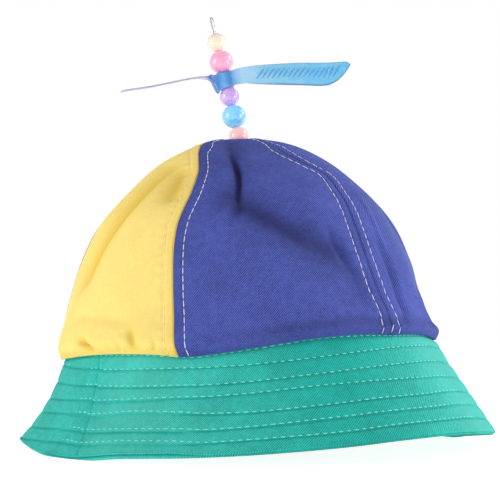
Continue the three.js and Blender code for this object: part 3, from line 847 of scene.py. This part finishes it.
def foldDepth(point, along, lines, firmEdge, fading=False):  # the depth, and the painted shade it gives the cloth
    depth = np.zeros(point.shape[:-1])
    tinted = np.zeros_like(depth)
    for points, deep, width, tint in lines:
        nearest = np.full_like(depth, np.inf)
        place = np.zeros_like(depth)
        for k, (start, end) in enumerate(zip(points[:-1], points[1:])):
            way = end - start
            t = np.clip(((point - start) @ way) / (way @ way), 0, 1)
            distance = np.linalg.norm(point - start - t[..., None] * way, axis=-1)
            place = np.where(distance < nearest, (k + t) / (len(points) - 1), place)
            nearest = np.minimum(nearest, distance)
        here = deep * bell(nearest, width) * (np.sin(np.pi * place) ** 0.8 if fading else 1.0)
        depth += here
        tinted += tint * here
    firm = smooth(along, 0, firmEdge)
    return depth * firm, tinted * firm


def seamBearing(index, along):
    seams = crown["seams"]
    return through(crown["levels"], seams[index % len(seams)], onCurve(curvePoints, 0, along))


def panelSpan(index, along):  # first bearing, width in degrees, width in millimetres
    first = seamBearing(index, along)
    width = (seamBearing(index + 1, along) - first) % 360
    radius = onCurve(curvePoints, 1, along)
    return first, width, np.radians(width) * np.maximum(radius, crown["tipRadius"])


def isSeam(label, index):
    return np.asarray(index) % len(crown["seams"]) == seam[label][0]


def stitchDistance(index, span, along):  # from the seam to its topstitching
    apart, room = np.ones_like(along), seam["room"][0]
    if isSeam("drawn", index):
        closer, *ends = seam["drawn"][1:]
        wider, foot = seam["spread"]
        apart = 1 - closer * smooth(along, *ends) + wider * (1 - smooth(along, 0, foot))
    elif isSeam("parted", index):
        wider, *ends = seam["parted"][1:]
        apart, room = 1 + wider * smooth(along, *ends), seam["room"][1]
    return np.minimum(seam["stitchAt"] * apart, room * span)


def seamStrength(index, along):  # the seam whose rows draw together lies flatter near the tip
    flat, *ends = seam["flat"]
    return 1 - flat * isSeam("drawn", index) * smooth(along, *ends)


def seamRelief(index, distance, span, along):
    beyond = distance - stitchDistance(index, span, along)
    travelled = along * crownLength
    groove = dent(distance, seam["groove"]) * seamStrength(index, along)
    band = seam["lift"] * (1 - smooth(beyond, -1.0, 1.4))
    pull = dent(beyond, seam["pull"])
    wave = seam["pucker"] * np.sin(travelled * 1.05 + 3 * np.sin(travelled * 0.13)) * bell(beyond - 1.6, 2.4)
    return (band - pull + wave) * np.minimum(1, span / seam["narrow"]) - groove


def panelPoint(index, across, along):  # a point of the outer face with all its relief
    first, width, span = panelSpan(index, along)
    slit = np.degrees(seam["slit"] / (span / np.radians(width)))
    bearing = first + slit + (width - 2 * slit) * across
    point, facing, climb, radius = crownBase(bearing, along)
    fullness = np.sin(np.pi * np.minimum(1, along * 1.05 + 0.08)) ** 0.6
    puff = crown["puff"] * fullness * np.sin(np.pi * across)
    broad, broadTint = foldDepth(point, along, folds, crown["firmEdge"])
    fine, fineTint = foldDepth(point, along, creases, crown["firmEdge"] / 4, fading=True)
    distance = np.minimum(across, 1 - across) * span
    near, far = [seamRelief(index + k, distance, span, along) for k in (0, 1)]
    out = puff - dent(radius, crown["dimple"]) + broad + fine
    return point, facing, climb, out, np.where(across < 0.5, near, far), broadTint + fineTint, distance, span


def wrinkle(point, along):
    heights = [high * ripple(point, size, k + 1) for k, (size, high) in enumerate(crown["wrinkles"])]
    return sum(heights) * smooth(along, 0, 0.06)


def panelEnd(line):  # closes the end of a folded wall: its two sides, then its rounded foot
    last = 2 * crown["rows"] + 1
    rungs = [[line[k], line[k + 1], line[last - 1 - k], line[last - k]] for k in range(crown["rows"])]
    return rungs + [[line[0], line[last]] + line[last + 1:]]


def makePanel(index, name, columns, material):
    rows = crown["rows"]
    c = np.linspace(0, 1, columns + 1)
    across = c - crown["crowding"] * np.sin(2 * np.pi * c) / (2 * np.pi)
    fromTip = np.interp(crown["tipRadius"], curvePoints[::-1, 1], crownLength - curveLength[::-1])
    along = np.linspace(0, 1, rows + 1) * (1 - fromTip / crownLength)
    across, along = np.meshgrid(across, along, indexing="ij")
    point, facing, climb, out, relief, fold, distance, span = panelPoint(index, across, along)
    out = out + wrinkle(point, along)
    outer = point + facing * (out + relief)[..., None]
    thick, wide = seam["inside"]
    allowance = thick * (1 - smooth(distance, wide - 0.8, wide)) * np.minimum(1, span / 30)
    inner = point + facing * (out - crown["wall"] - allowance)[..., None]
    middle = (outer[:, 0] + inner[:, 0]) / 2
    half = (outer[:, 0] - inner[:, 0]) / 2
    reach = climb[:, 0] * np.linalg.norm(half, axis=-1, keepdims=True)
    angles = np.linspace(np.pi, 0, 7)[1:-1]  # the cloth's rounded lower edge
    foot = [middle + half * math.cos(angle) - reach * math.sin(angle) for angle in angles]
    grid = np.concatenate([outer, inner[:, ::-1], np.stack(foot, axis=1)], axis=1)
    first, width, _ = panelSpan(index, along)
    start, whole, _ = panelSpan(index, np.array(alongAtHeight(crown["weaveLevel"])))
    turn = (first + width * across - start - whole / 2 + 180) % 360 - 180
    u = np.radians(turn) * onCurve(curvePoints, 1, along)
    v = along * crownLength
    # painted shade in folds and creases, a painted highlight on ridges, painted shade along the sewn edge and
    # the seams
    deep, at, wide = crown["edgeShade"]
    paintedShading = np.clip(-fold / crown["fullShadeDepth"], *crown["paintedShadingEnds"]) + deep * bell(v - at, wide)
    overall, towardsTip = crown["shades"].get(name, (0, 0))
    paintedShading = paintedShading + overall + towardsTip * smooth(along, 0.5, 0.8)
    pressed = sum(dent(distance, size) for size in crown["seamShades"])
    paintedShading = paintedShading + seamStrength(index + (across > 0.5), along) * pressed
    under = -2.5  # the inner face starts this far below the edge on the cloth
    footV = np.tile(np.linspace(under, 0, len(foot) + 2)[1:-1], (columns + 1, 1))
    u = np.concatenate([u, u[:, ::-1], np.repeat(u[:, :1], len(foot), axis=1)], axis=1)
    v = np.concatenate([v, under - v[:, ::-1], footV], axis=1)
    paintedShading = np.concatenate([paintedShading, paintedShading[:, ::-1], np.zeros_like(footV)], axis=1)
    piece = loft(name + "_cloth", grid, u, v, caps=panelEnd, marks={"paintedShading": paintedShading})
    return dress(piece, material, "hat", name)


crownStitch = {
    "spacing": 3.9,
    "long": 4.0,
    "wide": 0.52,
    "high": 0.45,
    "slant": 0.0,
    "unevenness": 0.2,
    "seed": 5,
    "lift": 0.12,
    "ends": (0.008, 0.955),  # shares of the way up the seam
    "tackAt": 2,  # the panel whose first seam ends in a few stitches of its own
    "tackEnds": (0.014, 0.017),
    "tackLift": 0.25,
}


def makeTopstitching(title, slots, material):
    lines, facings = [], []

    def addLine(index, across, along, lift):
        point, facing, _, out, relief = panelPoint(index, across, along)[:5]
        lines.append(point + facing * (out + relief + lift)[..., None])
        facings.append(facing)
        return point

    for index, (name, slot, columns) in enumerate(crown["panels"]):
        if slot not in slots:
            continue
        along = np.linspace(*crownStitch["ends"], 420)
        span = panelSpan(index, along)[2]
        first, last = [stitchDistance(index + k, span, along) / span for k in (0, 1)]
        for across in (first, 1 - last):
            point = addLine(index, across, along, crownStitch["lift"])
            lines[-1] += facings[-1] * wrinkle(point, along)[..., None]
        if index == crownStitch["tackAt"]:
            along = np.linspace(*crownStitch["tackEnds"], 20)
            addLine(index, np.full_like(along, 0.002), along, crownStitch["tackLift"])
    return dress(sew(linesMesh(title, lines, facings), crownStitch, material), None, "hat")


clothBySlot = {slot: twillMaterial(slot) for slot in ("yellow_cloth", "blue_cloth", "red_cloth")}
for index, (name, slot, columns) in enumerate(crown["panels"]):
    makePanel(index, name, columns, clothBySlot[slot])
paleThread = threadMaterial("pale thread", (0.84, 0.80, 0.93), (0.60, 0.56, 0.76))
creamThread = threadMaterial("cream thread", (1.0, 0.83, 0.52), (0.96, 0.76, 0.40))
makeTopstitching("crown_topstitching", ("blue_cloth", "red_cloth"), paleThread)
makeTopstitching("crown_topstitching_cream", ("yellow_cloth",), creamThread)
print("crown sewn")


# the stem: a bent wire with five beads

spin = frame["joints"][0]
hub = Vector(spin["pos_m"])
lean = Vector(spin["axis"]).normalized()
stemTurn = Vector((0, 0, 1)).rotation_difference(lean).to_matrix().to_4x4()

stem = {
    "base": (-8.4, 3.0, 149.6),  # the crown's tip
    "bore": 1.1,
    "boreEdge": 0.28,  # rounding where the hole meets the bead's face
    "partingLine": 0.035,
    "beadColumns": 56,
    "beadRows": 30,
    "wireRadius": 0.45,
    "wireHalfWidth": 0.56,
    "wireTop": 60.81,
    "eyeLength": 9.0,
    "eyeHalfWidth": 0.75,
    "footReach": 6.0,
    "footDrop": 4.4,
    "wireSides": 12,
}

beads = {  # size, body colour, the paler swirl in it, and how strongly it glows, a painted light that evens out its shading
    "bead_coral": (9.9, (1.0, 0.50, 0.50), (1.0, 0.60, 0.60), 0.17),
    "bead_blue": (12.05, (0.19, 0.58, 0.93), (0.27, 0.68, 0.97), 0.1),
    "bead_purple": (9.9, (0.54, 0.34, 0.76), (0.63, 0.43, 0.82), 0.08),
    "bead_pink": (12.05, (0.95, 0.34, 0.55), (0.97, 0.44, 0.63), 0.07),
    "bead_cream": (9.9, (0.85, 0.73, 0.56), (0.88, 0.78, 0.63), 0.04),
}


def beadMaterial(name):
    _, body, swirl, paintedGlow = beads[name]
    constants = {
        "Coat Weight": 0.9,
        "Coat Roughness": 0.05,
        "Coat IOR": 1.5,
        "Subsurface Weight": 0.35,
        "Subsurface Radius": (0.6, 0.6, 0.6),
        "Subsurface Scale": 0.0025,
        # the bead glows a little, a painted light that evens out its shading
        "Emission Color": rgba(body),
        "Emission Strength": paintedGlow,
    }
    material, s, shader = newSurface(name.replace("_", " "), constants)
    place = s.here()
    cloud = place.noiseAt(170.0, 3.0)
    join(cloud.spread(0.3, 0.72).mix(rgba(body), rgba(swirl)), shader, "Base Color")
    join(place.noiseAt(900.0) * 0.08 + 0.24, shader, "Roughness")
    return material


def inFrame(points, matrix):  # local millimetres to the hat's own, still in millimetres
    return points @ np.array(matrix.to_3x3()).T + np.array(matrix.translation) / mm


def makeBead(name):
    low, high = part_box(name)
    place = Matrix.Translation((low + high) / 2) @ stemTurn
    radius, bore, lip = beads[name][0] / 2, stem["bore"], stem["boreEdge"]
    start = math.asin((bore + lip) / radius)
    angle = np.linspace(start, np.pi - start, stem["beadRows"])
    swell = radius + stem["partingLine"] * bell(angle - np.pi / 2, 0.035)
    across, level = swell * np.sin(angle), -swell * np.cos(angle)
    edge = np.linspace(0.2, np.pi / 2, 5)
    lipAcross = bore + lip * (1 - np.sin(edge))
    lipLevel = level[-1] - lip * 0.8 * (1 - np.cos(edge))
    hole = np.linspace(lipLevel[-1], -lipLevel[-1], 6)[1:-1]
    across = np.concatenate([across, lipAcross, np.full_like(hole, bore), lipAcross[::-1]])
    level = np.concatenate([level, lipLevel, hole, -lipLevel[::-1]])
    turn = np.linspace(0, 2 * np.pi, stem["beadColumns"], endpoint=False)[:, None]
    grid = np.stack([across * np.cos(turn), across * np.sin(turn), level + 0 * turn], axis=-1)
    piece = loft(name + "_turned", inFrame(grid, place), ring=True)
    return dress(piece, beadMaterial(name), "hat", name)


def wirePath():  # half of the bent wire, then its mirror image
    top, half, eye = stem["wireTop"], stem["wireHalfWidth"], stem["eyeHalfWidth"]
    reach, drop, loop = stem["footReach"], stem["footDrop"], stem["eyeLength"]
    side = [(reach, -drop), (reach * 0.55, -drop), (2.0, -drop + 0.3), (half + 0.2, -drop + 1.6)]
    side += [(half, -drop + 3.6), (half, top * 0.25), (half, top * 0.5), (half, top * 0.75), (half, top)]
    side += [(eye * 0.85, top + loop * 0.3), (eye, top + loop * 0.6), (eye * 0.7, top + loop * 0.88)]
    return np.array(side + [(0, top + loop)] + [(-x, z) for x, z in side[::-1]])


def makeWire(material):
    path = wirePath()
    knots = travel(path)
    place = np.linspace(0, knots[-1], 420)
    x, z = [through(knots, path[:, k], place) for k in (0, 1)]
    base = Matrix.Translation(Vector(stem["base"]) * mm) @ stemTurn
    line = inFrame(np.stack([x, 0 * x, z], axis=-1), base)
    piece = linesMesh("stem_wire_drawn", [line], [np.tile(np.array(lean), (len(line), 1))])
    values = {"Radius": stem["wireRadius"] * mm, "Sides": stem["wireSides"], "Material": material}
    runTree(piece, wireTree(), values)
    return dress(piece, None, "hat", "stem_wire")


for name in beads:
    makeBead(name)
makeWire(wireMaterial())
print("beads threaded on the stem")


# the propeller: one strip of clear sheet with two flaps folded back at its hub

propeller = {
    "thickness": 0.64,
    "flapThickness": 0.6,
    "flapWidth": 8.0,
    "flapDepth": 7.4,
    "flapCorner": 1.8,
    "hubWallBack": 3.4,
    "hubHeight": 8.0,
    "flapBore": 1.35,
    "bend": 0.9,  # radius of the fold
    "lip": 0.12,  # the raised border
    "tipRound": 1.6,
    "columns": 260,
    "sections": [  # along, depth, rise, pitch, upper edge, lower edge
        (-53.4, -2.4, 5.5, 107.5, 2.2, 4.6), (-52, -2.2, 5.55, 107.5, 4.4, 5.6),
        (-49, -2, 5.5, 107.5, 5.7, 6), (-37, -1.8, 4.8, 108, 6.2, 6.2), (-24, -1.8, 4.6, 108.8, 6, 6),
        (-16, -2, 4.3, 107.5, 5, 5), (-11.5, -2.4, 3.4, 102, 4.2, 4.2), (-8, -3, 1.9, 82, 3.2, 3),
        (-5.6, -3.4, 0, 4, 3.2, 7), (-3, -3.4, 0, 0, 3.4, 5.2), (0, -3.4, 0, 0, 3.4, 4.8),
        (4, -3.4, 0, -2, 3.6, 4.4), (9, -3.2, -0.2, -14, 4.6, 5), (18, -2.8, -1.9, -22, 6.5, 6.5),
        (37, -2, -5.4, -22, 7.3, 7.9), (49, -1.6, -7.7, -20, 6.8, 8.2), (55, -1.4, -8.8, -20, 6.7, 5.4),
        (59.5, -1.2, -9, -20, 6.2, 1.8), (62.4, -1, -8.9, -20, 5.4, -1.2), (63.8, -1, -8.8, -20, 4, -2.4),
    ],
}

stripTable = np.array(propeller["sections"], float)
hubPlace = Matrix.Translation(hub) @ stemTurn
bladeWay = stemTurn.to_3x3() @ Vector((1, 0, 0))


def stripFrame(along):  # middle line, edge distances, the ways up and forward
    table = [through(stripTable[:, 0], stripTable[:, k], along) for k in range(1, 6)]
    depth, rise, pitch, upper, lower = table
    turn = np.radians(pitch)
    up = np.stack([0 * turn, -np.sin(turn), np.cos(turn)], axis=-1)
    front = np.stack([0 * turn, -up[..., 2], up[..., 1]], axis=-1)
    return np.stack([along, depth, rise], axis=-1), upper, lower, up, front


def makeStrip():
    low, high = stripTable[0, 0], stripTable[-1, 0]
    t = np.linspace(0, 1, propeller["columns"])
    along = low + (high - low) * (t - 0.55 * np.sin(2 * np.pi * t) / (2 * np.pi))
    line, upper, lower, up, front = stripFrame(along)
    ends = np.minimum(along - low, high - along)
    middle, half = (upper - lower) / 2, (upper + lower) / 2 * rounded(ends / propeller["tipRound"], 0.0025)
    wide = 2 * half
    small = np.minimum(1, wide / 4)
    edge = [0.0, 0.06, 0.18, 0.4, 0.7, 1.0, 1.4]  # rows of points, close together at both edges
    places = [d * small for d in edge]
    places += [1.4 * small + (wide - 2.8 * small) * k / 10 for k in range(1, 10)]
    places += [wide - d * small for d in edge[::-1]]
    fade = (1 - 0.75 * smooth(-along, 6, 12)) * (0.15 + 0.85 * smooth(np.abs(along), 8, 30))
    fronts, backs, borders = [], [], []
    for place in places:
        d = np.minimum(place, wide - place)
        borders.append(bell(np.minimum(d, ends) - 0.2, 0.4) * fade)
        face = propeller["thickness"] / 2 * rounded(d / (0.4 * small))
        face = face + propeller["lip"] * bell(d - 0.65 * small, 0.3) * small
        row = line + up * (middle + half - place)[:, None]
        fronts.append(row + front * face[:, None])
        backs.append(row - front * face[:, None])
    grid = np.stack(fronts + backs[-2:0:-1], axis=1)
    border = np.stack(borders + borders[-2:0:-1], axis=1)
    grid = inFrame(grid, hubPlace)
    return loft("propeller_sheet", grid, caps=lambda line: [line], marks={"border": border})


def flapOutline(count):  # rounded at the back, and long enough in front to fold down
    wide, corner = propeller["flapWidth"] / 2, propeller["flapCorner"]
    front = -propeller["hubWallBack"]
    back = front + propeller["flapDepth"] - corner
    right = [(wide, front - 1.6), (wide, front), (wide - 0.5, back)]
    for angle in np.radians(np.linspace(0, 90, 9)):
        right.append((wide - 0.5 - corner + corner * math.cos(angle), back + corner * math.sin(angle)))
    points = np.array(right + [(-x, y) for x, y in right[::-1]] + [right[0]])
    travelled = travel(points)
    place = np.linspace(0, travelled[-1], count, endpoint=False)
    return np.stack([np.interp(place, travelled, points[:, k]) for k in (0, 1)], axis=-1)


def makeFlap(name, side):  # side 1 is the upper flap, -1 the lower one
    outline = flapOutline(128)
    hole = unit(outline) * propeller["flapBore"]
    shares = np.array([0, 0.02, 0.06, 0.16, 0.3, 0.45, 0.6, 0.72, 0.82, 0.9, 0.95, 0.98, 1.0])  # hole to edge
    skin = propeller["flapThickness"] / 2 * rounded(np.minimum(shares, 1 - shares) / 0.05, 0.02)
    flat = hole[:, None] + (outline - hole)[:, None] * shares[None, :, None]
    upperSide = np.concatenate([flat, np.broadcast_to(skin[None, :, None], flat.shape[:2] + (1,))], axis=-1)
    x, y, z = np.moveaxis(np.concatenate([upperSide, upperSide[:, ::-1] * [1, 1, -1]], axis=1), -1, 0)
    radius = propeller["bend"]
    foldAt = radius - propeller["hubWallBack"]
    over = foldAt - y  # how far past the fold line
    turn = np.clip(over / radius, 0, np.pi / 2)
    past = np.maximum(over - radius * np.pi / 2, 0)
    foldedY = foldAt - (radius + z) * np.sin(turn)
    foldedZ = (radius + z) * np.cos(turn) - radius - past
    level = propeller["hubHeight"] / 2 - propeller["thickness"] / 2
    z = side * (level + np.where(over > 0, foldedZ, z))
    grid = np.stack([x, np.where(over > 0, foldedY, y), z], axis=-1)
    border = 0.3 * np.concatenate([bell(1 - shares, 0.04), bell(1 - shares[::-1], 0.04)])
    border = np.broadcast_to(border, grid.shape[:2])
    return loft(name, inFrame(grid, hubPlace), ring=True, marks={"border": border})


def fuse(piece, others):  # one closed body
    for other in others:
        cut = piece.modifiers.new("fuse", "BOOLEAN")
        cut.operation = "UNION"
        cut.solver = "EXACT"
        cut.object = other
    settle(piece)
    for other in others:
        bpy.data.objects.remove(other)
    piece.data.shade_smooth()
    return piece


blades = {
    "ends": (17.0, 55.0),  # the ribs' part of the right blade
    "spacing": 2.5,
    "long": 12.2,
    "wide": 0.8,
    "high": 0.36,
    "low": 0.7,  # how far below the blade's middle
    "slant": 58.0,
    "unevenness": 0.0,
    "seed": 2,
    "colour": (0.09, 0.34, 0.76),  # deeper than the sheet, where the plastic is thicker
}


def makeRibs():  # even slanting ribs that stiffen the right blade
    line, upper, lower, up, front = stripFrame(np.linspace(*blades["ends"], 60))
    middle = np.minimum((upper - lower) / 2, 0)[:, None] - blades["low"]
    line = inFrame(line + up * middle + front * propeller["thickness"] / 2, hubPlace)
    piece = linesMesh("propeller_ribs", [line], [front @ np.array(stemTurn.to_3x3()).T])
    constants = {"Base Color": rgba(blades["colour"]), **sheetLook["gloss"]}
    sew(piece, blades, grained("blue ribs", constants, sheetLook["scuff"], (0.16, 0.2)))
    return dress(piece, None, "propeller")


strip = fuse(makeStrip(), [makeFlap("upper_flap", 1), makeFlap("lower_flap", -1)])
dress(strip, sheetMaterial(hub, bladeWay), "propeller", "propeller")
makeRibs()
print("propeller folded")


# floor, light and camera

studio = {
    "floorSize": 14.0,
    "floorColour": (0.5, 0.5, 0.5),
    "floorGlow": 0.85,  # a lit table, so that the floor stays pale to its far edge
    "ambient": (0.48, 0.745),  # overhead and at the horizon
    "cameraFrom": (-3.75, -700.0, 55.0),
    "cameraTo": (-3.75, 0.0, 96.7),
    "frameWidth": 250.0,  # mm across the picture at the hat's middle
    "sensor": 36.0,
    "lampsTo": (0.0, 0.0, 0.1),
    "lamps": [  # bearing from the camera side, height, distance, width, height of the panel, power
        (-67, 0.36, 1.5, 0.8, 0.9, 9.9), (67, 0.16, 1.5, 0.32, 0.6, 7.5), (106, 0.9, 1.2, 0.5, 0.6, 8.6),
    ],
}


def aim(holder, target):
    holder.rotation_euler = (Vector(target) - holder.location).to_track_quat("-Z", "Y").to_euler()


def makeFloor():
    half = studio["floorSize"] / 2
    mesh = bpy.data.meshes.new("floor")
    mesh.from_pydata([(-half, -half, 0), (half, -half, 0), (half, half, 0), (-half, half, 0)], [], [range(4)])
    constants = {"Base Color": rgba(studio["floorColour"]), "Roughness": 0.9}
    constants.update({"Emission Color": (1, 1, 1, 1), "Emission Strength": studio["floorGlow"]})
    mesh.materials.append(newSurface("pale floor", constants)[0])
    show("floor", mesh)


def makeLamps():
    for k, (bearing, height, distance, wide, tall, power) in enumerate(studio["lamps"]):
        lamp = bpy.data.lights.new("softbox" + str(k + 1), "AREA")
        lamp.shape, lamp.size, lamp.size_y, lamp.energy = "RECTANGLE", wide, tall, power
        holder = show(lamp.name, lamp)
        holder.location = Vector(outward(np.array(bearing)) * distance) + Vector((0, 0, height))
        aim(holder, studio["lampsTo"])


def makeWorld():
    world = bpy.data.worlds.new("white room")
    world.use_nodes = True
    s = Sock(world.node_tree)
    backdrop = world.node_tree.nodes["Background"]
    way = s.node("ShaderNodeTexCoord").out("Generated")
    height = s.node("ShaderNodeSeparateXYZ", {}, {0: way}).out("Z")
    overhead, horizon = studio["ambient"]
    room = height.spread(0.0, 0.9) * (overhead - horizon) + horizon
    seen = s.node("ShaderNodeLightPath").out("Is Camera Ray")
    backdrop.inputs["Color"].default_value = (1, 1, 1, 1)
    join(seen + (1 - seen) * room, backdrop, "Strength")
    bpy.context.scene.world = world


def makeCamera():
    start, end = Vector(studio["cameraFrom"]) * mm, Vector(studio["cameraTo"]) * mm
    lens = bpy.data.cameras.new("camera")
    lens.sensor_width = studio["sensor"]
    lens.lens = studio["sensor"] * (end - start).length / (studio["frameWidth"] * mm)
    camera = show("camera", lens)
    camera.location = start
    aim(camera, end)
    bpy.context.scene.camera = camera


makeFloor()
makeLamps()
makeWorld()
makeCamera()
bpy.context.scene.view_settings.view_transform = "Standard"
print("studio set")
